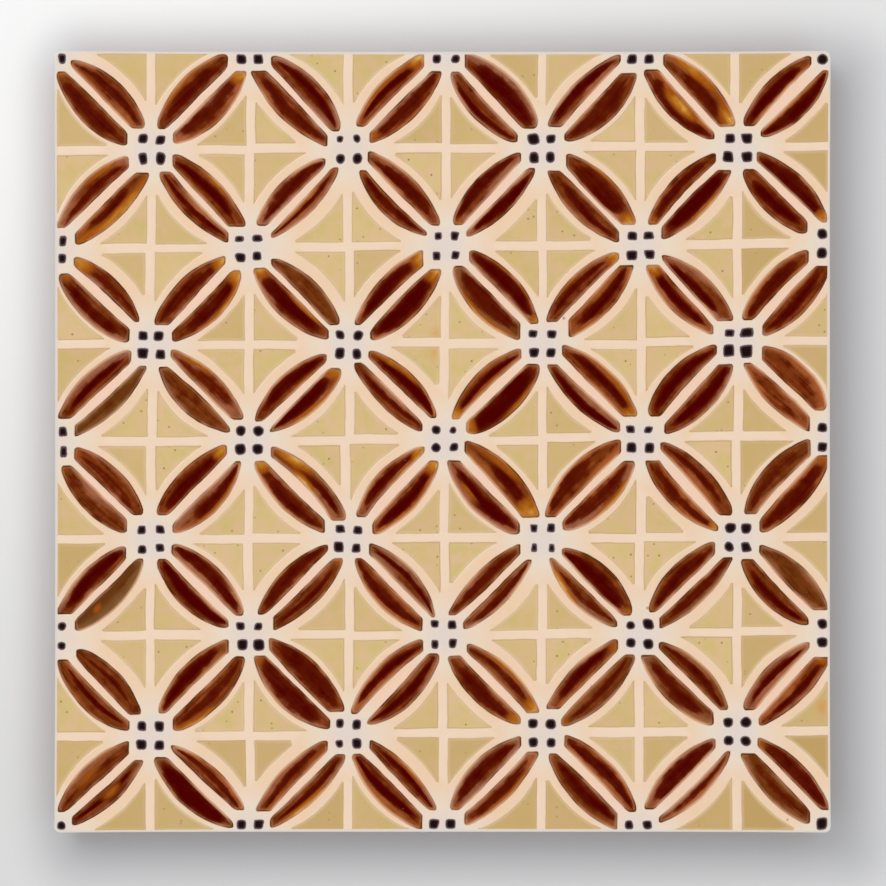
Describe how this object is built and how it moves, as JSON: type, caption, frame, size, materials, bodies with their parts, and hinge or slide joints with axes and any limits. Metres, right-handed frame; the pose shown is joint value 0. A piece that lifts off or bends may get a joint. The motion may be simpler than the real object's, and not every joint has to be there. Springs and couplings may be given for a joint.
{
  "type": "wall tile",
  "caption": "Near-square glazed earthenware wall tile: a keyed clay body under a cream glaze coat with a lattice of split-leaf, corner and dot wells.",
  "frame": {"origin": "under the middle of the tile, on the plane of its back", "axes": "+Z out of the decorated face, +Y towards the top of the pattern, +X to the right seen from the face"},
  "size_m": [0.15, 0.151, 0.009],
  "materials": {
    "clay": "unglazed biscuit, matt and slightly sandy",
    "cream_glaze": "glossy opaque cream ground glaze",
    "brown_glaze": "glossy translucent iron-brown glaze, darkest where it lies deepest",
    "ochre_glaze": "glossy ochre glaze with small dark specks",
    "dark_glaze": "glossy blue-black glaze"
  },
  "bodies": {
    "root": {"clay_body": "clay", "glaze_coat": "cream_glaze"}
  },
  "joints": []
}
